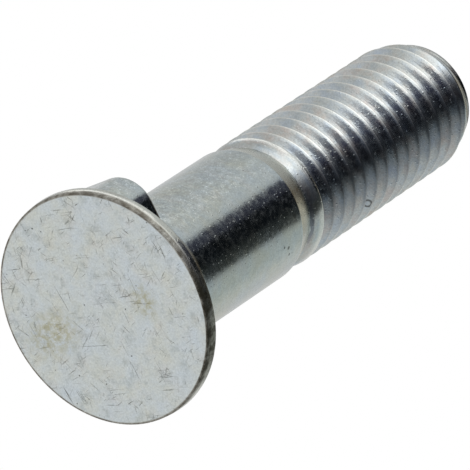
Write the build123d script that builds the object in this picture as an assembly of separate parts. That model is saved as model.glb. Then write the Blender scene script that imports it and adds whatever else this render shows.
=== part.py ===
from build123d import *
from math import cos, radians, sin, tan
import os

# Plow bolt, M12 x 1.75 x 50: a flat countersunk head with one nib, a plain shank and a rolled thread.
# Millimetres. The head's flat face lies on Z = 0, the axis runs up +Z to the point, the nib faces -Y.
# The thread is drawn by the envelope of its crests, as is usual for a fastener in an assembly.

BOLT_DIAMETER = 12.0
LENGTH = 50.0

# Head: a flat face, a short cylindrical land round it and a countersunk underside with a rounded neck.
HEAD_DIAMETER = 20.34
HEAD_LAND = 1.1
HEAD_EDGE_ROUND = 0.2
COUNTERSINK_ANGLE = 90.0
NECK_ROUND = 3.0

# Nib: a rounded key on one side that grows out of the countersink and keeps the bolt from turning.
NIB_WIDTH = 8.74
NIB_SETBACK = 1.17
NIB_PROUD = 1.3
NIB_CORNER_ROUND = 3.0

# Shank: plain up to a rounded shoulder, where the smaller blank of the rolled thread begins.
SHOULDER_HEIGHT = 20.95
SHOULDER_LENGTH = 1.4
BLANK_STEP = 0.55

# Thread: its crests rise out of the blank over the run-out, then stay level up to the point.
CREST_CLEARANCE = 0.05
RUNOUT_LENGTH = 3.4

# Point: a tapered end that leads the nut on.
POINT_LENGTH = 2.6
POINT_DIAMETER = 9.72

shank_radius = BOLT_DIAMETER / 2
head_radius = HEAD_DIAMETER / 2
crest_radius = shank_radius - CREST_CLEARANCE
blank_radius = shank_radius - BLANK_STEP
countersink_height = HEAD_LAND + (head_radius - shank_radius) / tan(radians(COUNTERSINK_ANGLE / 2))
blank_start = SHOULDER_HEIGHT + SHOULDER_LENGTH
countersink_slope = radians(COUNTERSINK_ANGLE / 2)
neck_run = NECK_ROUND * tan(countersink_slope / 2)


def make_turned_body():
    """Head, shank, blank and point in one turn about the axis."""
    face = Line((0, 0), (head_radius - HEAD_EDGE_ROUND, 0))
    rim = RadiusArc(face @ 1, (head_radius, HEAD_EDGE_ROUND), -HEAD_EDGE_ROUND)
    neck_start = (
        shank_radius + neck_run * sin(countersink_slope),
        countersink_height - neck_run * cos(countersink_slope),
    )
    countersink = Polyline(rim @ 1, (head_radius, HEAD_LAND), neck_start)
    neck = TangentArc(
        countersink @ 1, (shank_radius, countersink_height + neck_run), tangent=countersink % 1
    )
    shank = Line(neck @ 1, (shank_radius, SHOULDER_HEIGHT))
    shoulder = TangentArc(shank @ 1, (blank_radius, blank_start), tangent=(0, 1))
    thread = Polyline(
        shoulder @ 1,
        (crest_radius, blank_start + RUNOUT_LENGTH),
        (crest_radius, LENGTH - POINT_LENGTH),
        (POINT_DIAMETER / 2, LENGTH),
        (0, LENGTH),
        (0, 0),
    )
    outline = face + rim + countersink + neck + shank + shoulder + thread
    return revolve(Plane.XZ * make_face(outline), Axis.Z)


def make_nib():
    """The key on one side of the countersink, with its two outer corners rounded."""
    reach = head_radius - NIB_SETBACK
    height = countersink_height + NIB_PROUD - HEAD_LAND
    block = Pos(0, -reach / 2, HEAD_LAND) * Box(
        NIB_WIDTH, reach, height, align=(Align.CENTER, Align.CENTER, Align.MIN)
    )
    outer_corners = block.edges().filter_by(Axis.Z).group_by(Axis.Y)[0]
    return fillet(outer_corners, min(NIB_CORNER_ROUND, 0.45 * NIB_WIDTH))


os.makedirs("parts", exist_ok=True)
plow_bolt = make_turned_body() + make_nib()
export_step(plow_bolt, "parts/plow_bolt.step")
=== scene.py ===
from math import atan2, cos, pi, radians, sin, sqrt, tan

import bmesh
import bpy
from mathutils import Matrix, Vector


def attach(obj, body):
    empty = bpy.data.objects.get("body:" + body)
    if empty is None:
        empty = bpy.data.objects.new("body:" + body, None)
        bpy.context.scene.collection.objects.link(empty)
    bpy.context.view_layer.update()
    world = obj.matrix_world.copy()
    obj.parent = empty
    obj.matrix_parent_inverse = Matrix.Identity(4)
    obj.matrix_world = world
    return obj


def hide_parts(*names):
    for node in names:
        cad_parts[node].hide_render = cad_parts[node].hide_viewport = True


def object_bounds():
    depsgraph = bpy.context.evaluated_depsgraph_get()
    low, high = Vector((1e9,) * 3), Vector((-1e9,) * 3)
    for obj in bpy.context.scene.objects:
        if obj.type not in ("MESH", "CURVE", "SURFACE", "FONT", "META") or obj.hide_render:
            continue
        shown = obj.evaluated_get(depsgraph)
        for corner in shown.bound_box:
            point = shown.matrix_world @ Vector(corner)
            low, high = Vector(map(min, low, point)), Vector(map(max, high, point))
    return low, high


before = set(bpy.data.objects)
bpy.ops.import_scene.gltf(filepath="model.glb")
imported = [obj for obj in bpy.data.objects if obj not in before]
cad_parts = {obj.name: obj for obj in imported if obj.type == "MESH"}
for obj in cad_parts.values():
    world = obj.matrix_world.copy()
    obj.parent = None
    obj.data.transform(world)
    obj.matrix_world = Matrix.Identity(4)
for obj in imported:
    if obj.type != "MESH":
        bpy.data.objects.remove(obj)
cad_low, cad_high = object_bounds()

# --- Forged head, nib and plain shank ---------------------------------------------------------
# Carbon steel: a flat countersunk head with a thin land, upset in one blow with the nib on its -Y side. The
# skin is a stack of rings up the axis; from the countersink to the nib's top each ring follows the nib.
MM = 0.001
head_radius = min(cad_high.x, cad_high.y)
shank_radius = 6.0 * MM
shank_join = 20.0 * MM
neck_round = 3.0 * MM
columns = 160

# The land is a slight barrel: it leans in towards the face's crisp edge and stands nearly upright above.
land_height = 1.1 * MM
rim_round = 0.07 * MM
land_bulge = 2.2 * MM
land_draft = radians(1)
land_turn = radians(7)
bulge_end = 0.72 * MM
bulge_start = bulge_end - land_bulge * (sin(land_turn) - sin(land_draft))
bulge_radius = head_radius - (land_height - bulge_end) * tan(land_draft)
edge_radius = bulge_radius - land_bulge * (cos(land_draft) - cos(land_turn))
corner_height = rim_round * (1 - sin(land_turn))
corner_radius = edge_radius - (bulge_start - corner_height) * tan(land_turn)

# The nib is a key with rounded corners; its foot is where its front first stands out of the countersink.
nib_half_width = 4.37 * MM
nib_reach = head_radius - 1.17 * MM
nib_corner = 3.0 * MM
nib_foot = 2.32 * MM
nib_top = 6.57 * MM
nib_edge_round = 0.4 * MM
nib_columns = 22

countersink_foot = land_height + head_radius - shank_radius
neck_run = neck_round * tan(pi / 8)
neck_start = countersink_foot - neck_run * sin(pi / 4)
neck_end = countersink_foot + neck_run


def turned_radius(height):
    """Radius of the round part of the forging at a height between the land and the shank."""
    if height <= neck_start:
        return head_radius - (height - land_height)
    if height >= neck_end:
        return shank_radius
    return shank_radius + neck_round - sqrt(neck_round ** 2 - (neck_end - height) ** 2)


def nib_radius(angle, inset):
    """Distance from the axis to the nib's outline, drawn in by inset, at an angle from the nib's middle."""
    side = nib_half_width - inset
    front = nib_reach - inset
    corner = nib_corner - inset
    middle_x, middle_y = side - corner, front - corner
    if tan(angle) * front <= middle_x:
        return front / cos(angle)
    if angle < pi / 2 and side / tan(angle) >= middle_y or angle < atan2(side, middle_y):
        turn = angle - atan2(middle_x, middle_y)
        length = sqrt(middle_x ** 2 + middle_y ** 2)
        return length * cos(turn) + sqrt(corner ** 2 - (length * sin(turn)) ** 2)
    return side / sin(angle)


def nib_edge_angle(radius, inset):
    """Angle from the nib's middle at which its side runs into the round part, found by halving."""
    low, high = atan2(nib_half_width - nib_corner, nib_reach - nib_corner), pi / 2
    for _ in range(40):
        middle = (low + high) / 2
        if nib_radius(middle, inset) > radius:
            low = middle
        else:
            high = middle
    return low


def ring_angles(edge):
    """Half a ring's angles from the nib's middle: one set across the nib, the rest evenly round the back."""
    across = [edge * n / nib_columns for n in range(nib_columns)]
    back = columns // 2 - nib_columns
    return across + [edge + (pi - edge) * n / back for n in range(back + 1)]


def ring(height, radius, edge, inset=None):
    """One closed ring of points; with an inset it follows the nib where that stands outside the radius."""
    half = ring_angles(edge)
    points = []
    for angle in half + [2 * pi - a for a in half[-2:0:-1]]:
        from_nib = min(angle, 2 * pi - angle)
        reach = radius
        if inset is not None and from_nib < pi / 2:
            reach = max(radius, nib_radius(from_nib, inset))
        points.append(Vector((reach * sin(angle), -reach * cos(angle), height)))
    return points


# The face and its edge, then the land's barrel and its upper corner.
even_edge = 2 * pi * nib_columns / columns
face_radius = corner_radius - rim_round * cos(land_turn)
edge_steps, barrel_steps = 8, 6
rings = [ring(0, share * face_radius, even_edge) for share in (0.03, 0.2, 0.45, 0.7, 0.88)]
for step in range(edge_steps + 1):
    turn = pi / 2 - (pi / 2 - land_turn) * step / edge_steps
    radius = corner_radius - rim_round * (cos(land_turn) - cos(turn))
    rings.append(ring(rim_round * (1 - sin(turn)), radius, even_edge))
for step in range(barrel_steps + 1):
    turn = land_turn - (land_turn - land_draft) * step / barrel_steps
    radius = bulge_radius - land_bulge * (cos(land_draft) - cos(turn))
    rings.append(ring(bulge_start + land_bulge * (sin(land_turn) - sin(turn)), radius, even_edge))
for above_land, inwards in ((-0.12, 0.0), (0.02, 0.03), (0.12, 0.12)):
    rings.append(ring(land_height + above_land * MM, head_radius - inwards * MM, even_edge))

# The countersink with the nib's upright walls, the nib's rounded upper edge, and the plain shank.
first_nib_ring = 1.77 * MM
wall_top = nib_top - nib_edge_round
wall_steps, nib_edge_steps, shank_steps = 20, 6, 12
first_edge = nib_edge_angle(turned_radius(nib_foot), 0)
for step in range(wall_steps):
    height = first_nib_ring + (wall_top - first_nib_ring) * step / wall_steps
    radius = turned_radius(height)
    rings.append(ring(height, radius, max(nib_edge_angle(radius, 0), first_edge), 0))
for step in range(nib_edge_steps + 1):
    turn = pi / 2 * step / nib_edge_steps
    height = nib_top - nib_edge_round * (1 - sin(turn))
    inset = nib_edge_round * (1 - cos(turn))
    radius = turned_radius(height)
    rings.append(ring(height, radius, nib_edge_angle(radius, inset), inset))
last_edge = nib_edge_angle(shank_radius, nib_edge_round)
for step in range(shank_steps + 1):
    share = step / shank_steps
    edge = last_edge + (even_edge - last_edge) * share
    rings.append(ring(nib_top + (shank_join - nib_top) * share, shank_radius, edge))

skin = bmesh.new()
layers = [[skin.verts.new(point) for point in points] for points in rings]
centre = skin.verts.new((0, 0, 0))
for n in range(columns):
    after = (n + 1) % columns
    skin.faces.new((centre, layers[0][after], layers[0][n]))
    for lower, upper in zip(layers, layers[1:]):
        skin.faces.new((lower[n], lower[after], upper[after], upper[n]))

# --- Shoulder, rolled thread and point --------------------------------------------------------
# M12 x 1.75, right hand. A short cone leads from the shank to a smaller blank; flat dies press the groove in,
# and the metal they move rises as the crests. Every row of the grid follows the helix, so crest and root stay
# even; rows past either end gather on the end ring.
pitch = 1.75 * MM
half_angle = radians(30)
groove_phase = 0.592 * MM
crest_radius = shank_radius - 0.03 * MM
crest_round = 0.5 * MM
root_radius = 5.0 * MM
root_round = 0.6 * MM
blank_radius = shank_radius - 0.55 * MM
shoulder_start = 21.02 * MM
shoulder_length = 2.03 * MM
rise_start = 23.05 * MM
crest_rise = 0.55 * MM
runout_start = 23.0 * MM
runout_end = 25.3 * MM
point_start = cad_high.z - 2.6 * MM
point_slope = 0.385
point_end = cad_high.z - 0.1 * MM
rows_per_pitch = 24
turns = 20


def add_node(tree, kind, inputs=None, **settings):
    """Adds a node with its settings and fills or links its inputs; a node as a value is its first output."""
    made = tree.nodes.new(kind)
    for name, value in settings.items():
        setattr(made, name, value)
    for socket, value in (inputs or {}).items():
        if isinstance(value, bpy.types.Node):
            value = value.outputs[0]
        if isinstance(value, bpy.types.NodeSocket):
            tree.links.new(value, made.inputs[socket])
        else:
            made.inputs[socket].default_value = value
    return made


rolling = bpy.data.node_groups.new("rolled_thread", "GeometryNodeTree")
sizes = {
    "Pitch": pitch,
    "Groove Phase": groove_phase,
    "Shank Radius": shank_radius,
    "Blank Radius": blank_radius,
    "Crest Radius": crest_radius,
    "Root Radius": root_radius,
    "Root Round": root_round,
    "Shoulder Start": shoulder_start,
    "Shoulder Length": shoulder_length,
    "Rise Start": rise_start,
    "Run-out Start": runout_start,
    "Run-out End": runout_end,
    "Crest Rise": crest_rise,
    "Crest Round": crest_round,
    "Point Start": point_start,
    "Point Slope": point_slope,
    "Lower End": shank_join,
    "Upper End": point_end,
}
rolling.interface.new_socket("Geometry", in_out="INPUT", socket_type="NodeSocketGeometry")
for name in sizes:
    rolling.interface.new_socket(name, in_out="INPUT", socket_type="NodeSocketFloat")
rolling.interface.new_socket("Steel", in_out="INPUT", socket_type="NodeSocketMaterial")
rolling.interface.new_socket("Geometry", in_out="OUTPUT", socket_type="NodeSocketGeometry")

# A flat grid is wound round the axis: across it runs once round, and each row climbs a pitch on the way. The
# first row starts a few whole turns up, below the join with the shank.
MATH = "ShaderNodeMath"
given = add_node(rolling, "NodeGroupInput").outputs
rows = rows_per_pitch * turns
turns_below = 10.0
grid = add_node(rolling, "GeometryNodeMeshGrid", {
    "Size X": 1.0, "Size Y": 1.0, "Vertices X": columns + 1, "Vertices Y": rows + 1,
})
place = add_node(rolling, "ShaderNodeSeparateXYZ", {0: add_node(rolling, "GeometryNodeInputPosition")})
share_round = add_node(rolling, MATH, {0: place.outputs["X"], 1: 0.5}, operation="ADD")
row = add_node(rolling, MATH, {0: place.outputs["Y"], 1: float(rows), 2: rows / 2}, operation="MULTIPLY_ADD")
row = add_node(rolling, MATH, {0: row}, operation="ROUND")
travel = add_node(rolling, MATH, {0: row, 1: float(rows_per_pitch)}, operation="DIVIDE")
climbed = add_node(rolling, MATH, {0: travel, 1: share_round}, operation="ADD")
climbed = add_node(rolling, MATH, {0: climbed, 1: turns_below}, operation="ADD")
raw_height = add_node(rolling, MATH, {
    0: climbed, 1: given["Pitch"], 2: given["Groove Phase"],
}, operation="MULTIPLY_ADD")
capped = add_node(rolling, MATH, {0: raw_height, 1: given["Lower End"]}, operation="MAXIMUM")
height_now = add_node(rolling, MATH, {0: capped, 1: given["Upper End"]}, operation="MINIMUM")

# The blank: a short cone down from the shank, then level.
down = add_node(rolling, MATH, {0: height_now, 1: given["Shoulder Start"]}, operation="SUBTRACT")
down = add_node(rolling, MATH, {0: down, 1: given["Shoulder Length"]}, operation="DIVIDE")
down = add_node(rolling, MATH, {0: down, 1: 0.0}, operation="MAXIMUM")
down = add_node(rolling, MATH, {0: down, 1: 1.0}, operation="MINIMUM")
step_in = add_node(rolling, MATH, {0: given["Shank Radius"], 1: given["Blank Radius"]}, operation="SUBTRACT")
step_in = add_node(rolling, MATH, {0: step_in, 1: down}, operation="MULTIPLY")
shoulder = add_node(rolling, MATH, {0: given["Shank Radius"], 1: step_in}, operation="SUBTRACT")

# The crests rise out of the blank, quickly at first, and reach their full height within about a turn.
past_start = add_node(rolling, MATH, {0: height_now, 1: given["Rise Start"]}, operation="SUBTRACT")
past_start = add_node(rolling, MATH, {0: past_start, 1: 0.0}, operation="MAXIMUM")
decay = add_node(rolling, MATH, {0: past_start, 1: given["Crest Rise"]}, operation="DIVIDE")
decay = add_node(rolling, MATH, {0: decay, 1: -1.0}, operation="MULTIPLY")
decay = add_node(rolling, MATH, {0: decay}, operation="EXPONENT")
filled = add_node(rolling, MATH, {0: 1.0, 1: decay}, operation="SUBTRACT")
full_rise = add_node(rolling, MATH, {
    0: given["Crest Radius"], 1: given["Blank Radius"],
}, operation="SUBTRACT")
raised = add_node(rolling, MATH, {0: filled, 1: full_rise}, operation="MULTIPLY")
body_radius = add_node(rolling, MATH, {0: shoulder, 1: raised}, operation="ADD")

# The point: a slight draw-in, then the cone that leads the nut on. Well below it the body keeps its radius.
draw_in_slope, draw_in_depth = 0.107, 0.04 * MM
cone_depth = 0.03 * MM
cone_blend, crest_blend = 0.1 * MM, 0.05 * MM
point_clear = 40 * MM
past_point = add_node(rolling, MATH, {0: height_now, 1: given["Point Start"]}, operation="SUBTRACT")
draw_in = add_node(rolling, MATH, {
    0: past_point, 1: draw_in_slope, 2: draw_in_depth,
}, operation="MULTIPLY_ADD")
draw_in = add_node(rolling, MATH, {0: draw_in, 1: 0.0}, operation="MAXIMUM")
cone_in = add_node(rolling, MATH, {
    0: past_point, 1: given["Point Slope"], 2: cone_depth,
}, operation="MULTIPLY_ADD")
point_in = add_node(rolling, MATH, {0: draw_in, 1: cone_in, 2: cone_blend}, operation="SMOOTH_MAX")
point_radius = add_node(rolling, MATH, {0: given["Crest Radius"], 1: point_in}, operation="SUBTRACT")
envelope = add_node(rolling, MATH, {0: body_radius, 1: point_radius, 2: crest_blend}, operation="SMOOTH_MIN")
before_point = add_node(rolling, MATH, {0: height_now, 1: point_clear}, operation="LESS_THAN")
envelope = add_node(rolling, "GeometryNodeSwitch", {
    "Switch": before_point, "False": envelope, "True": body_radius,
}, input_type="FLOAT")

# The groove: two 60 degree flanks on a rounded root, lifted out of the metal over the run-out.
from_root = add_node(rolling, MATH, {0: height_now, 1: given["Groove Phase"]}, operation="SUBTRACT")
from_root = add_node(rolling, MATH, {0: from_root, 1: given["Pitch"]}, operation="DIVIDE")
from_root = add_node(rolling, MATH, {0: from_root, 1: share_round}, operation="SUBTRACT")
from_root = add_node(rolling, MATH, {0: from_root, 1: 0.5, 2: -0.5}, operation="WRAP")
from_root = add_node(rolling, MATH, {0: from_root, 1: given["Pitch"]}, operation="MULTIPLY")
flank = add_node(rolling, MATH, {0: from_root, 1: 1 / tan(half_angle)}, operation="MULTIPLY")
flank_squared = add_node(rolling, MATH, {0: flank, 1: flank}, operation="MULTIPLY")
round_squared = add_node(rolling, MATH, {
    0: given["Root Round"], 1: given["Root Round"],
}, operation="MULTIPLY")
rounded = add_node(rolling, MATH, {0: flank_squared, 1: round_squared}, operation="ADD")
rounded = add_node(rolling, MATH, {0: rounded}, operation="SQRT")
sharp_root = add_node(rolling, MATH, {0: given["Root Radius"], 1: given["Root Round"]}, operation="SUBTRACT")
groove = add_node(rolling, MATH, {0: sharp_root, 1: rounded}, operation="ADD")
lift_from = add_node(rolling, MATH, {0: given["Shank Radius"], 1: given["Root Radius"]}, operation="SUBTRACT")
lift_from = add_node(rolling, MATH, {0: lift_from, 1: given["Crest Round"]}, operation="ADD")
lift = add_node(rolling, "ShaderNodeMapRange", {
    "Value": height_now, "From Min": given["Run-out Start"], "From Max": given["Run-out End"],
    "To Min": lift_from, "To Max": 0.0,
}, interpolation_type="SMOOTHSTEP")
groove = add_node(rolling, MATH, {0: groove, 1: lift}, operation="ADD")
surface = add_node(rolling, MATH, {0: envelope, 1: groove, 2: given["Crest Round"]}, operation="SMOOTH_MIN")

# Each point of the grid goes to its angle, radius and height, and the seam and the gathered rows are merged.
merge_distance = 0.004 * MM
angle_now = add_node(rolling, MATH, {0: share_round, 1: 2 * pi}, operation="MULTIPLY")
across = add_node(rolling, MATH, {0: angle_now}, operation="COSINE")
across = add_node(rolling, MATH, {0: across, 1: surface}, operation="MULTIPLY")
along = add_node(rolling, MATH, {0: angle_now}, operation="SINE")
along = add_node(rolling, MATH, {0: along, 1: surface}, operation="MULTIPLY")
spot = add_node(rolling, "ShaderNodeCombineXYZ", {"X": across, "Y": along, "Z": height_now})
wound = add_node(rolling, "GeometryNodeSetPosition", {"Geometry": grid, "Position": spot})
closed = add_node(rolling, "GeometryNodeMergeByDistance", {"Geometry": wound, "Distance": merge_distance})
real = add_node(rolling, "GeometryNodeRealizeInstances", {"Geometry": closed})
dressed = add_node(rolling, "GeometryNodeSetMaterial", {"Geometry": real, "Material": given["Steel"]})
add_node(rolling, "NodeGroupOutput", {"Geometry": dressed})

# --- Zinc-plated steel ------------------------------------------------------------------------
# Bright electroplated zinc with a clear chromate film over carbon steel: a metal, so all its colour is in its
# reflection. The film tints it faintly blue, straw and rose. The plating is satin on the head's struck face
# and glossier on the shank, which keeps the smooth skin of its wire.
def colour(hex_code):
    """An sRGB hex value as linear colour."""
    parts = [int(hex_code[n:n + 2], 16) / 255 for n in (0, 2, 4)]
    return [p / 12.92 if p <= 0.04045 else ((p + 0.055) / 1.055) ** 2.4 for p in parts] + [1.0]


def new_material(name):
    """A material with an empty node tree."""
    made = bpy.data.materials.new(name)
    made.use_nodes = True
    made.node_tree.nodes.clear()
    return made


def fill_ramp(ramp, stops):
    """Gives a colour ramp its stops, each a position and a hex value, in order."""
    while len(ramp.elements) > 1:
        ramp.elements.remove(ramp.elements[-1])
    for n, (position, code) in enumerate(stops):
        stop = ramp.elements[0] if n == 0 else ramp.elements.new(position)
        stop.position = position
        stop.color = colour(code)


VECTOR = "ShaderNodeVectorMath"
NOISE = "ShaderNodeTexNoise"
RANGE = "ShaderNodeMapRange"
zinc = new_material("zinc_plated_steel")
tree = zinc.node_tree
metres = add_node(tree, "ShaderNodeTexCoord").outputs["Object"]
spot_mm = add_node(tree, VECTOR, {"Vector": metres, "Scale": 1 / MM}, operation="SCALE")
xyz = add_node(tree, "ShaderNodeSeparateXYZ", {0: spot_mm}).outputs
flat_spot = add_node(tree, "ShaderNodeCombineXYZ", {"X": xyz["X"], "Y": xyz["Y"], "Z": 0.0})
from_axis = add_node(tree, VECTOR, {0: flat_spot}, operation="LENGTH").outputs["Value"]
on_face = add_node(tree, RANGE, {
    "Value": xyz["Z"], "From Min": 0.02, "From Max": 0.2, "To Min": 1.0, "To Max": 0.0,
})
shoulder_low = shoulder_start / MM
shoulder_high = (shoulder_start + shoulder_length) / MM
thread_low = runout_start / MM
threaded_part = add_node(tree, MATH, {0: xyz["Z"], 1: thread_low}, operation="GREATER_THAN")

# The chromate film drifts between a cool and a straw grey over a few millimetres, and mottles at half a
# millimetre. The face is painted a shade lighter: painted light, in place of a brighter reflection on it.
drift = add_node(tree, NOISE, {"Vector": spot_mm, "Scale": 1 / 3.2, "Detail": 4.0, "Roughness": 0.62})
film = add_node(tree, "ShaderNodeValToRGB", {"Fac": drift})
fill_ramp(film.color_ramp, [(0.36, "bec1b9"), (0.5, "bdc3c2"), (0.64, "bbc3c7")])
mottle = add_node(tree, NOISE, {"Vector": spot_mm, "Scale": 1 / 0.55, "Detail": 5.0, "Roughness": 0.72})
mottle_shade = add_node(tree, RANGE, {
    "Value": mottle, "From Min": 0.3, "From Max": 0.7, "To Min": 0.84, "To Max": 1.1,
})
# Painted light: the face's colour is lifted, standing in for a brighter reflection.
face_painted_lift = add_node(tree, RANGE, {"Value": on_face, "To Min": 1.0, "To Max": 1.09})
mottle_shade = add_node(tree, MATH, {0: mottle_shade, 1: face_painted_lift}, operation="MULTIPLY")
mottle_grey = add_node(tree, "ShaderNodeCombineColor", {
    "Red": mottle_shade, "Green": mottle_shade, "Blue": mottle_shade,
})

# On the worked thread the film is uneven and shows its interference tints, blue through rose.
on_thread = add_node(tree, RANGE, {
    "Value": xyz["Z"], "From Min": thread_low - 0.6, "From Max": thread_low + 0.4,
    "To Min": 0.2, "To Max": 0.7,
})
streaks = add_node(tree, VECTOR, {0: spot_mm, 1: (1.0, 1.0, 2.2)}, operation="MULTIPLY")
tint_drift = add_node(tree, NOISE, {"Vector": streaks, "Scale": 1 / 2.0, "Detail": 4.0, "Roughness": 0.65})
tint = add_node(tree, "ShaderNodeValToRGB", {"Fac": tint_drift})
fill_ramp(tint.color_ramp, [(0.34, "aeb9c5"), (0.5, "bcc1c2"), (0.68, "c1b7b1")])

# The crests are painted lighter, a painted highlight; the roots are painted darker, a painted shade in the
# groove.
crest_line, root_line = crest_radius / MM, root_radius / MM
crest_highlight_paint = add_node(tree, RANGE, {
    "Value": from_axis, "From Min": crest_line - 0.14, "From Max": crest_line - 0.07,
})
crest_highlight_paint = add_node(tree, MATH, {0: crest_highlight_paint, 1: threaded_part}, operation="MULTIPLY")
crest_highlight_paint = add_node(tree, MATH, {0: crest_highlight_paint, 1: 0.85}, operation="MULTIPLY")
root_shade_paint = add_node(tree, RANGE, {
    "Value": from_axis, "From Min": root_line, "From Max": root_line + 0.3, "To Min": 1.0, "To Max": 0.0,
})
root_shade_paint = add_node(tree, MATH, {0: root_shade_paint, 1: threaded_part}, operation="MULTIPLY")
root_shade_paint = add_node(tree, MATH, {0: root_shade_paint, 1: 0.35}, operation="MULTIPLY")

# The head's face was struck flat and then tumbled: short hairlines cross it at every angle, broken and darker
# than the film. Each set is a noise stretched to a scratch's length and width in millimetres, bent a little
# by a slower noise; they crowd together in places. The widths are drawn coarse, so that they show.
fine_warp = add_node(tree, NOISE, {"Vector": spot_mm, "Scale": 1 / 2.6, "Detail": 1.0})
bent_spot = add_node(tree, VECTOR, {
    0: fine_warp.outputs["Color"], 1: (0.5, 0.5, 0.5), 2: spot_mm,
}, operation="MULTIPLY_ADD")
crowd = add_node(tree, NOISE, {"Vector": spot_mm, "Scale": 1 / 2.1, "Detail": 3.0, "Roughness": 0.6})
crowded = add_node(tree, RANGE, {
    "Value": crowd, "From Min": 0.42, "From Max": 0.66, "To Min": -0.045, "To Max": 0.065,
})
scratch_sets = (
    # angle, length, width, rarity
    (0.2, 3.0, 0.10, 0.70),
    (1.0, 1.9, 0.09, 0.72),
    (1.5, 3.8, 0.10, 0.71),
    (1.9, 1.4, 0.09, 0.72),
    (2.5, 2.6, 0.10, 0.72),
    (2.9, 1.0, 0.09, 0.71),
)
scratch = 0.0
for angle, length, width, rarity in scratch_sets:
    stretched = add_node(tree, "ShaderNodeMapping", {
        "Vector": bent_spot, "Rotation": (0.0, 0.0, angle), "Scale": (length, width, 1.0),
    }, vector_type="TEXTURE")
    lines = add_node(tree, NOISE, {"Vector": stretched, "Scale": 1.0, "Detail": 1.0, "Roughness": 0.4})
    lines = add_node(tree, MATH, {0: lines, 1: crowded}, operation="ADD")
    lines = add_node(tree, RANGE, {"Value": lines, "From Min": rarity, "From Max": rarity + 0.05})
    scratch = add_node(tree, MATH, {0: lines, 1: scratch}, operation="MAXIMUM")
scratch = add_node(tree, MATH, {0: scratch, 1: on_face}, operation="MULTIPLY")
breaks = add_node(tree, NOISE, {"Vector": spot_mm, "Scale": 1 / 0.9, "Detail": 3.0, "Roughness": 0.7})
darkness = add_node(tree, RANGE, {
    "Value": breaks, "From Min": 0.38, "From Max": 0.64, "To Min": 0.1, "To Max": 0.75,
})
scratch_depth = add_node(tree, MATH, {0: scratch, 1: darkness}, operation="MULTIPLY")

# Grey smudges a millimetre or so across, strongest on the face, and the grain of the plating itself.
smudge = add_node(tree, NOISE, {"Vector": bent_spot, "Scale": 1 / 1.0, "Detail": 4.0, "Roughness": 0.68})
smudge = add_node(tree, RANGE, {
    "Value": smudge, "From Min": 0.52, "From Max": 0.68, "To Min": 0.0, "To Max": 0.4,
})
smudge_part = add_node(tree, RANGE, {"Value": on_face, "To Min": 0.4, "To Max": 1.0})
smudge = add_node(tree, MATH, {0: smudge, 1: smudge_part}, operation="MULTIPLY")
grain = add_node(tree, NOISE, {"Vector": spot_mm, "Scale": 1 / 0.17, "Detail": 2.0, "Roughness": 0.6})
grain_shade = add_node(tree, RANGE, {
    "Value": grain, "From Min": 0.3, "From Max": 0.7, "To Min": 0.9, "To Max": 1.1,
})
grain_grey = add_node(tree, "ShaderNodeCombineColor", {
    "Red": grain_shade, "Green": grain_shade, "Blue": grain_shade,
})

# Pits and specks where the plating missed: sparse on the shank but for one cluster near the shoulder, closer
# on the face. One crescent ding marks the thread.
pit_cluster, ding_spot = (5.1, 3.2, 19.2), (3.3, 4.4, 32.9)
ding_radius, ding_end = 0.34, 33.08
pits = add_node(tree, "ShaderNodeTexVoronoi", {"Vector": spot_mm, "Scale": 1 / 0.75}, feature="F1")
pit_lot = add_node(tree, "ShaderNodeSeparateColor", {"Color": pits.outputs["Color"]}).outputs
chance = add_node(tree, RANGE, {"Value": on_face, "To Min": 0.9, "To Max": 0.66})
cluster = add_node(tree, VECTOR, {0: spot_mm, 1: pit_cluster}, operation="DISTANCE").outputs["Value"]
cluster = add_node(tree, RANGE, {
    "Value": cluster, "From Min": 0.8, "From Max": 2.6, "To Min": 0.4, "To Max": 0.0,
})
chance = add_node(tree, MATH, {0: chance, 1: cluster}, operation="SUBTRACT")
chosen = add_node(tree, MATH, {0: pit_lot["Red"], 1: chance}, operation="GREATER_THAN")
pit_reach = add_node(tree, RANGE, {"Value": pit_lot["Green"], "To Min": 0.05, "To Max": 0.14})
pit_reach = add_node(tree, MATH, {0: cluster, 1: 0.35, 2: pit_reach}, operation="MULTIPLY_ADD")
inside = add_node(tree, MATH, {0: pit_reach, 1: pits.outputs["Distance"]}, operation="SUBTRACT")
inside = add_node(tree, RANGE, {"Value": inside, "From Min": 0.0, "From Max": 0.05})
pit = add_node(tree, MATH, {0: inside, 1: chosen}, operation="MULTIPLY")
ding = add_node(tree, VECTOR, {0: spot_mm, 1: ding_spot}, operation="DISTANCE").outputs["Value"]
ding = add_node(tree, MATH, {0: ding, 1: ding_radius}, operation="SUBTRACT")
ding = add_node(tree, MATH, {0: ding}, operation="ABSOLUTE")
ding = add_node(tree, RANGE, {
    "Value": ding, "From Min": 0.05, "From Max": 0.14, "To Min": 1.0, "To Max": 0.0,
})
ding_side = add_node(tree, MATH, {0: xyz["Z"], 1: ding_end}, operation="LESS_THAN")
ding = add_node(tree, MATH, {0: ding, 1: ding_side}, operation="MULTIPLY")
pit = add_node(tree, MATH, {0: pit, 1: ding}, operation="MAXIMUM")
pit_depth = add_node(tree, MATH, {0: pit, 1: 0.8}, operation="MULTIPLY")

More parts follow.
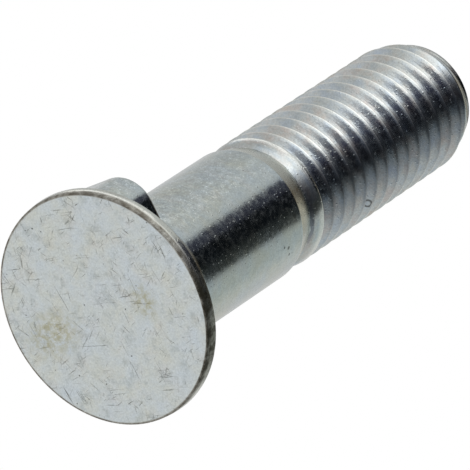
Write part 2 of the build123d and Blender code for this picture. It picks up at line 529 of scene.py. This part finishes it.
# Painted shade on the face: straw-grey and darker in a long patch on one side, standing in for a dimmer,
# warmer reflection there, and in a small patch opposite.
from_shade_patches = []
for centre_x, centre_y, reach_x, reach_y in ((-6.1, 0.5, 3.2, 2.2), (4.3, 0.5, 1.3, 1.8)):
    offset = (-centre_x / reach_x, -centre_y / reach_y, 0.0)
    shade_patch = add_node(tree, VECTOR, {
        0: flat_spot, 1: (1 / reach_x, 1 / reach_y, 0.0), 2: offset,
    }, operation="MULTIPLY_ADD")
    from_shade_patches.append(add_node(tree, VECTOR, {0: shade_patch}, operation="LENGTH").outputs["Value"])
painted_straw_shade = add_node(tree, MATH, {0: from_shade_patches[0], 1: from_shade_patches[1]}, operation="MINIMUM")
painted_straw_shade = add_node(tree, RANGE, {
    "Value": painted_straw_shade, "From Min": 0.35, "From Max": 1.15, "To Min": 1.0, "To Max": 0.0,
})
patchy = add_node(tree, RANGE, {"Value": mottle, "From Min": 0.4, "From Max": 0.58})
painted_straw_shade = add_node(tree, MATH, {0: painted_straw_shade, 1: patchy}, operation="MULTIPLY")
painted_straw_shade = add_node(tree, MATH, {0: painted_straw_shade, 1: on_face}, operation="MULTIPLY")
painted_straw_shade = add_node(tree, MATH, {0: painted_straw_shade, 1: 0.75}, operation="MULTIPLY")

# The head's rim: olive brown from the face's edge to half way up the land, in patches, and beige above. A
# patch
# on one side is painted nearly black: painted shade, a painted reflection of the black flag the land mirrors
# there.
land_top = land_height / MM
painted_dark_spot = (8.9, 4.7, 0.0)
on_land = add_node(tree, RANGE, {"Value": from_axis, "From Min": 9.86, "From Max": 9.96})
below_land = add_node(tree, RANGE, {
    "Value": xyz["Z"], "From Min": land_top, "From Max": land_top + 0.1, "To Min": 1.0, "To Max": 0.0,
})
on_land = add_node(tree, MATH, {0: on_land, 1: below_land}, operation="MULTIPLY")
low_land = add_node(tree, RANGE, {
    "Value": xyz["Z"], "From Min": 0.36, "From Max": 0.52, "To Min": 1.0, "To Max": 0.0,
})
rim_patch = add_node(tree, RANGE, {
    "Value": breaks, "From Min": 0.34, "From Max": 0.6, "To Min": 0.45, "To Max": 0.95,
})
rim_olive_band = add_node(tree, MATH, {0: on_land, 1: low_land}, operation="MULTIPLY")
rim_olive_band = add_node(tree, MATH, {0: rim_olive_band, 1: rim_patch}, operation="MULTIPLY")
painted_dark_patch = add_node(tree, VECTOR, {0: flat_spot, 1: painted_dark_spot}, operation="DISTANCE").outputs["Value"]
painted_dark_patch = add_node(tree, RANGE, {
    "Value": painted_dark_patch, "From Min": 3.2, "From Max": 6.2, "To Min": 1.1, "To Max": 0.0,
}, interpolation_type="SMOOTHSTEP")
painted_dark_patch = add_node(tree, MATH, {0: painted_dark_patch, 1: on_land}, operation="MULTIPLY")
painted_dark_patch = add_node(tree, MATH, {0: painted_dark_patch, 1: rim_patch}, operation="MULTIPLY")
land_beige = add_node(tree, MATH, {0: on_land, 1: 0.6}, operation="MULTIPLY")

# The shoulder is painted cream: a painted reflection of the warm tones it mirrors.
in_shoulder = add_node(tree, RANGE, {
    "Value": xyz["Z"], "From Min": shoulder_low - 0.02, "From Max": shoulder_low + 0.1,
})
out_shoulder = add_node(tree, RANGE, {
    "Value": xyz["Z"], "From Min": shoulder_high - 0.15, "From Max": shoulder_high,
    "To Min": 1.0, "To Max": 0.0,
})
painted_cream_reflection = add_node(tree, MATH, {0: in_shoulder, 1: out_shoulder}, operation="MULTIPLY")
cream_reflection_share = add_node(tree, MATH, {0: painted_cream_reflection, 1: 0.7}, operation="MULTIPLY")

# Colour: the coats are laid over the film one by one, each with the share of it that covers.
coats = (
    (1.0, mottle_grey, "MULTIPLY"),
    (on_thread, tint, "MIX"),
    # The next two: painted highlight along the crests, painted shade in the thread's roots.
    (crest_highlight_paint, colour("dbdcd8"), "MIX"),
    (root_shade_paint, colour("7d756a"), "MIX"),
    (scratch_depth, colour("5b5a50"), "MIX"),
    (smudge, colour("8d9594"), "MIX"),
    (1.0, grain_grey, "MULTIPLY"),
    (pit_depth, colour("4e4f4c"), "MIX"),
    # painted straw shade on the face
    (painted_straw_shade, colour("9f9b7c"), "MIX"),
    (land_beige, colour("c9c6bb"), "MIX"),
    # the rim's olive band, then its painted dark patch, a painted reflection of the black flag
    (rim_olive_band, colour("68635a"), "MIX"),
    (painted_dark_patch, colour("514e43"), "MIX"),
    # painted cream reflection on the shoulder
    (cream_reflection_share, colour("cccbc1"), "MIX"),
)
skin_colour = film
for share, coat, blend in coats:
    skin_colour = add_node(tree, "ShaderNodeMix", {
        "Factor": share, "A": skin_colour, "B": coat,
    }, data_type="RGBA", blend_type=blend).outputs["Result"]

# Gloss: satin on the struck face, brighter on the shank and on the rolled thread, and duller on the rim's
# olive band and its painted dark patch, on the shoulder and in scratches.
gloss = add_node(tree, RANGE, {"Value": on_face, "To Min": 0.15, "To Max": 0.36})
for share, duller in ((rim_olive_band, 0.22), (painted_dark_patch, 0.25), (painted_cream_reflection, 0.1), (scratch, 0.2)):
    gloss = add_node(tree, MATH, {0: share, 1: duller, 2: gloss}, operation="MULTIPLY_ADD")
gloss_drift = add_node(tree, RANGE, {
    "Value": mottle, "From Min": 0.34, "From Max": 0.66, "To Min": -0.06, "To Max": 0.12,
})
gloss = add_node(tree, MATH, {0: gloss, 1: gloss_drift}, operation="ADD")

# Relief: the plated crystals, about a tenth of a millimetre, drawn a little coarse so that they show, a slow
# swell, some nodules that stand proud, the dies' short marks round the thread, and the scratches and pits.
crystals = add_node(tree, NOISE, {"Vector": spot_mm, "Scale": 1 / 0.14, "Detail": 2.0, "Roughness": 0.6})
swell = add_node(tree, NOISE, {"Vector": spot_mm, "Scale": 1 / 1.1, "Detail": 2.0})
nodule = add_node(tree, "ShaderNodeTexVoronoi", {"Vector": spot_mm, "Scale": 1 / 0.22}, feature="F1")
nodule_lot = add_node(tree, "ShaderNodeSeparateColor", {"Color": nodule.outputs["Color"]}).outputs
raised = add_node(tree, RANGE, {"Value": nodule_lot["Red"], "From Min": 0.7, "From Max": 1.0})
nodule_top = add_node(tree, RANGE, {
    "Value": nodule.outputs["Distance"], "From Min": 0.0, "From Max": 0.45, "To Min": 1.0, "To Max": 0.0,
}, interpolation_type="SMOOTHSTEP")
nodule_top = add_node(tree, MATH, {0: nodule_top, 1: raised}, operation="MULTIPLY")
die_spot = add_node(tree, VECTOR, {0: spot_mm, 1: (1.0, 1.0, 7.0)}, operation="MULTIPLY")
die_marks = add_node(tree, NOISE, {"Vector": die_spot, "Scale": 1 / 1.3, "Detail": 3.0, "Roughness": 0.6})
die_marks = add_node(tree, MATH, {0: die_marks, 1: threaded_part}, operation="MULTIPLY")
marks = add_node(tree, MATH, {0: scratch, 1: pit}, operation="MAXIMUM")
relief = crystals
for pattern, height in ((swell, 1.6), (nodule_top, 5.5), (die_marks, 5.0), (marks, -1.6)):
    relief = add_node(tree, MATH, {0: pattern, 1: height, 2: relief}, operation="MULTIPLY_ADD")
bump = add_node(tree, "ShaderNodeBump", {"Height": relief, "Strength": 0.5, "Distance": 0.006 * MM})
steel = add_node(tree, "ShaderNodeBsdfPrincipled", {
    "Base Color": skin_colour, "Metallic": 1.0, "Roughness": gloss, "Normal": bump,
})
add_node(tree, "ShaderNodeOutputMaterial", {"Surface": steel})

# --- The two halves of the skin brought together ----------------------------------------------
# The bolt is one forging, so the head and the threaded end are welded into a single closed skin at the shank.
# The point's end is closed with a rounded edge and a middle that sinks a little, as a rolled blank's does.
threaded_end = bpy.data.objects.new("threaded_end", bpy.data.meshes.new("threaded_end"))
bpy.context.scene.collection.objects.link(threaded_end)
roll = threaded_end.modifiers.new("rolled_thread", "NODES")
roll.node_group = rolling
for item in rolling.interface.items_tree:
    if item.in_out == "INPUT" and item.name in sizes:
        roll[item.identifier] = sizes[item.name]
    if item.in_out == "INPUT" and item.name == "Steel":
        roll[item.identifier] = zinc
threaded = bpy.data.meshes.new_from_object(threaded_end.evaluated_get(bpy.context.evaluated_depsgraph_get()))
bpy.data.objects.remove(threaded_end)
skin.from_mesh(threaded)
bpy.data.meshes.remove(threaded)


def extend_loop(shape, loop):
    """Extrudes a loop of open edges and returns the new points and the new loop."""
    made = bmesh.ops.extrude_edge_only(shape, edges=loop)["geom"]
    points = [part for part in made if isinstance(part, bmesh.types.BMVert)]
    return points, [part for part in made if isinstance(part, bmesh.types.BMEdge)]


end_round_in = 0.16 * MM
end_round_up = cad_high.z - point_end
end_sink = 0.3 * MM
end_steps = 6
weld_distance = 0.002 * MM
crisp_angle = radians(26)
near_end = point_end - 0.02 * MM
end_loop = [edge for edge in skin.edges if edge.is_boundary and min(v.co.z for v in edge.verts) > near_end]
end_radius = sqrt(end_loop[0].verts[0].co.x ** 2 + end_loop[0].verts[0].co.y ** 2)
end_rings = []
for step in range(1, end_steps + 1):
    turn = pi / 2 * step / end_steps
    end_rings.append((end_radius - end_round_in * (1 - cos(turn)), point_end + end_round_up * sin(turn)))
for share in (0.85, 0.6, 0.35, 0.12):
    end_rings.append((end_radius * share, cad_high.z - end_sink * (1 - share ** 2)))
for radius, height in end_rings:
    points, end_loop = extend_loop(skin, end_loop)
    for v in points:
        out = Vector((v.co.x, v.co.y, 0)).normalized() * radius
        v.co = (out.x, out.y, height)
tip = skin.verts.new((0, 0, cad_high.z - end_sink))
for edge in end_loop:
    skin.faces.new((edge.verts[0], edge.verts[1], tip))

bmesh.ops.remove_doubles(skin, verts=skin.verts, dist=weld_distance)
bmesh.ops.recalc_face_normals(skin, faces=skin.faces)
for face in skin.faces:
    face.smooth = True
for edge in skin.edges:
    if len(edge.link_faces) == 2 and edge.calc_face_angle() > crisp_angle:
        edge.smooth = False
mesh = bpy.data.meshes.new("plow_bolt_skin")
skin.to_mesh(mesh)
skin.free()
mesh.materials.clear()
mesh.materials.append(zinc)
bolt = bpy.data.objects.new("plow_bolt_skin", mesh)
bpy.context.scene.collection.objects.link(bolt)
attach(bolt, "root")
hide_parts("plow_bolt")

# --- Camera -----------------------------------------------------------------------------------
# A long lens half a metre off and below the floor, looking up at the head's face. It is turned about its own
# axis, so that the bolt leans away to the upper right.
azimuth, elevation, roll_angle = radians(79.8), radians(-49.91), radians(56.21)
aim_right, aim_up, camera_back = 10.69 * MM, 6.06 * MM, 540 * MM
back = Vector((sin(azimuth) * cos(elevation), -cos(azimuth) * cos(elevation), sin(elevation)))
level = Vector((cos(azimuth), sin(azimuth), 0))
above = back.cross(level)
right = level * cos(roll_angle) + above * sin(roll_angle)
up = above * cos(roll_angle) - level * sin(roll_angle)
camera = bpy.data.objects.new("camera", bpy.data.cameras.new("camera"))
bpy.context.scene.collection.objects.link(camera)
camera.data.lens = 510.2
camera.data.sensor_width = 36
camera.data.clip_start = 0.01
camera.data.clip_end = 20
turned = Matrix((right, up, back)).transposed().to_4x4()
camera.matrix_world = Matrix.Translation(right * aim_right + up * aim_up + back * camera_back) @ turned
bpy.context.scene.camera = camera

# --- Floor, reflected cards and white room ----------------------------------------------------
# A floor of pale paper that is clear from below, open just under the head so that light reaches the face.
# There are no lamps: the white room gives the light, and cards stand round the bolt as in a studio, for its
# reflections only.
hole_margin = 0.05 * MM
sheet = bmesh.new()
bmesh.ops.create_circle(sheet, cap_ends=False, radius=head_radius - hole_margin, segments=96)
outer = list(sheet.edges)
for reach in (0.03, 0.1, 0.4, 1.6):
    points, outer = extend_loop(sheet, outer)
    for v in points:
        v.co = v.co.normalized() * reach
bmesh.ops.recalc_face_normals(sheet, faces=sheet.faces)
if sheet.faces[0].normal.z < 0:
    bmesh.ops.reverse_faces(sheet, faces=sheet.faces)
floor_mesh = bpy.data.meshes.new("floor")
sheet.to_mesh(floor_mesh)
sheet.free()
floor_paper = new_material("floor_paper")
paper = add_node(floor_paper.node_tree, "ShaderNodeBsdfDiffuse", {"Color": colour("f2f2f2")})
clear = add_node(floor_paper.node_tree, "ShaderNodeBsdfTransparent")
from_below = add_node(floor_paper.node_tree, "ShaderNodeNewGeometry").outputs["Backfacing"]
one_sided = add_node(floor_paper.node_tree, "ShaderNodeMixShader", {0: from_below, 1: paper, 2: clear})
add_node(floor_paper.node_tree, "ShaderNodeOutputMaterial", {"Surface": one_sided})
floor_mesh.materials.append(floor_paper)
floor = bpy.data.objects.new("floor", floor_mesh)
bpy.context.scene.collection.objects.link(floor)
floor.visible_glossy = False


def plain_material(name, code, strength=1.0):
    """A plain card's material: it glows evenly."""
    made = new_material(name)
    light = add_node(made.node_tree, "ShaderNodeEmission", {"Color": colour(code), "Strength": strength})
    add_node(made.node_tree, "ShaderNodeOutputMaterial", {"Surface": light})
    return made


def banded_material(name, bands, strength=1.0):
    """A banded card's material: it glows by azimuth, running in tone from one band's start to the next."""
    made = new_material(name)
    here = add_node(made.node_tree, "ShaderNodeTexCoord").outputs["Object"]
    turn_share = add_node(made.node_tree, "ShaderNodeTexGradient", {"Vector": here}, gradient_type="RADIAL")
    tone = add_node(made.node_tree, "ShaderNodeValToRGB", {"Fac": turn_share.outputs["Fac"]})
    fill_ramp(tone.color_ramp, [(degrees / 360 + 0.5, code) for degrees, code in bands])
    light = add_node(made.node_tree, "ShaderNodeEmission", {"Color": tone, "Strength": strength})
    add_node(made.node_tree, "ShaderNodeOutputMaterial", {"Surface": light})
    return made


def add_card(name, material, azimuths, elevations, distance):
    """A card bent round the bolt between two azimuths and two elevations, seen by reflections only."""
    steps_round, steps_up = 24, 12
    card_skin = bmesh.new()
    uprights = []
    for n in range(steps_round + 1):
        a = radians(azimuths[0] + (azimuths[1] - azimuths[0]) * n / steps_round)
        upright = []
        for m in range(steps_up + 1):
            e = radians(elevations[0] + (elevations[1] - elevations[0]) * m / steps_up)
            place = (distance * cos(a) * cos(e), distance * sin(a) * cos(e), distance * sin(e))
            upright.append(card_skin.verts.new(place))
        uprights.append(upright)
    for one, two in zip(uprights, uprights[1:]):
        for m in range(steps_up):
            card_skin.faces.new((one[m], two[m], two[m + 1], one[m + 1]))
    data = bpy.data.meshes.new(name)
    card_skin.to_mesh(data)
    card_skin.free()
    data.materials.append(material)
    card = bpy.data.objects.new(name, data)
    bpy.context.scene.collection.objects.link(card)
    card.visible_camera = False
    card.visible_diffuse = False
    card.visible_shadow = False
    card.visible_transmission = False


# Azimuths run from +X towards +Y. The shank mirrors the upper tent, whose black flag draws the dark band down
# it; the thread's steep flanks and the head's face mirror the lower tent, which is white opposite the face.
upper_bands = [
    (-180, "dedede"), (-128, "c9cccb"), (-104, "c9cccb"), (-84, "d4d8d8"), (-40, "dee2e2"), (-29, "d4d8d8"),
    (-24, "494b57"), (-9, "393b46"), (-4, "101418"), (20, "101418"), (27, "303434"), (43, "424645"),
    (51, "bcc2c0"), (60, "c2cac8"), (80, "c6cecb"), (98, "dadeda"), (135, "dadad8"),
]
lower_bands = [
    (-180, "ffffff"), (-160, "fbf9f9"), (-112, "e8e8e8"), (-96, "cecece"), (-80, "e3e3e3"), (-62, "edeef1"),
    (-40, "a6a9b0"), (-10, "505264"), (2, "2c2d36"), (18, "1e2026"), (44, "1a1c20"), (52, "444a50"),
    (60, "8a9299"), (75, "6a7177"), (87, "a6acaf"), (98, "c9cdcd"), (105, "dcdedf"), (118, "e0e0e0"),
    (130, "ffffff"),
]

# Nearer in, the zenith card stands where the cones of the shoulder and the point look, and the two windows
# where the thread's rounded crests and roots look.
zenith_bands = [
    (-180, "ccced0"), (-130, "ccced0"), (-112, "c2c5c5"), (-54, "b2b3b0"), (-10, "827e76"), (15, "5c5244"),
    (36, "5a5042"), (50, "a09c8e"), (64, "c8c5b6"), (95, "d2d0c2"), (106, "b0ada0"), (118, "7c786c"),
    (140, "8c887c"), (158, "b4b2aa"), (168, "c6c6c2"),
]
above_bands = [
    (-180, "a4a4a2"), (-112, "a8a8a6"), (-96, "a8a8a6"), (-84, "a8a8a6"), (-68, "c4c4c2"), (-46, "f4f4f2"),
    (-27, "f0f2f3"), (-16, "b9b9bb"), (-10, "949599"), (-3, "5c5d62"), (8, "3a3c41"), (28, "26292e"),
]
below_bands = [
    (-180, "a3a3a1"), (-104, "9f9f9d"), (-92, "a5a5a3"), (-82, "b1b1b0"), (-66, "cfcfcd"), (-50, "e7e7e7"),
    (-43, "e6e6e4"), (-32, "fcfcfc"), (-24, "e2e4e6"), (-16, "a7a7a9"), (-10, "86878a"), (-3, "535358"),
    (8, "313338"), (28, "181a1e"), (40, "272a2d"), (52, "44484b"), (62, "63676a"), (75, "707377"),
    (92, "949696"), (112, "a3a5a5"),
]

# The rim strip puts a bright line on the land, and the rose card tints a strip of the flanks.
add_card("upper_tent", banded_material("upper_tent", upper_bands), (-180, 180), (2, 89.5), 0.6)
add_card("zenith_card", banded_material("zenith_card", zenith_bands), (-180, 180), (65, 89.5), 0.5)
add_card("lower_tent", banded_material("lower_tent", lower_bands), (-180, 180), (-89.5, 2), 0.6)
add_card("window_above", banded_material("window_above", above_bands, 1.7), (-135, 28), (6, 37), 0.45)
add_card("window_below", banded_material("window_below", below_bands, 2.0), (-104, 116), (-46, 6), 0.45)
add_card("rim_strip", plain_material("rim_strip", "ffffff", 1.5), (-140, -52), (37.5, 45.5), 0.44)
add_card("rose_card", plain_material("rose_card", "b9a5a3"), (-113, -101), (-60, -44), 0.44)

# The room is white to the camera and in reflections, and a little softer as light on the floor.
world = bpy.data.worlds.new("studio")
bpy.context.scene.world = world
world.use_nodes = True
world.node_tree.nodes.clear()
rays = add_node(world.node_tree, "ShaderNodeLightPath").outputs
seen = add_node(world.node_tree, MATH, {
    0: rays["Is Camera Ray"], 1: rays["Is Glossy Ray"],
}, operation="MAXIMUM")
seen = add_node(world.node_tree, MATH, {0: seen, 1: rays["Is Transmission Ray"]}, operation="MAXIMUM")
room = add_node(world.node_tree, "ShaderNodeBackground", {"Color": colour("ffffff"), "Strength": 0.7})
white = add_node(world.node_tree, "ShaderNodeBackground", {"Color": colour("ffffff"), "Strength": 1.0})
either = add_node(world.node_tree, "ShaderNodeMixShader", {0: seen, 1: room, 2: white})
add_node(world.node_tree, "ShaderNodeOutputWorld", {"Surface": either})

bpy.context.scene.view_settings.view_transform = "Standard"
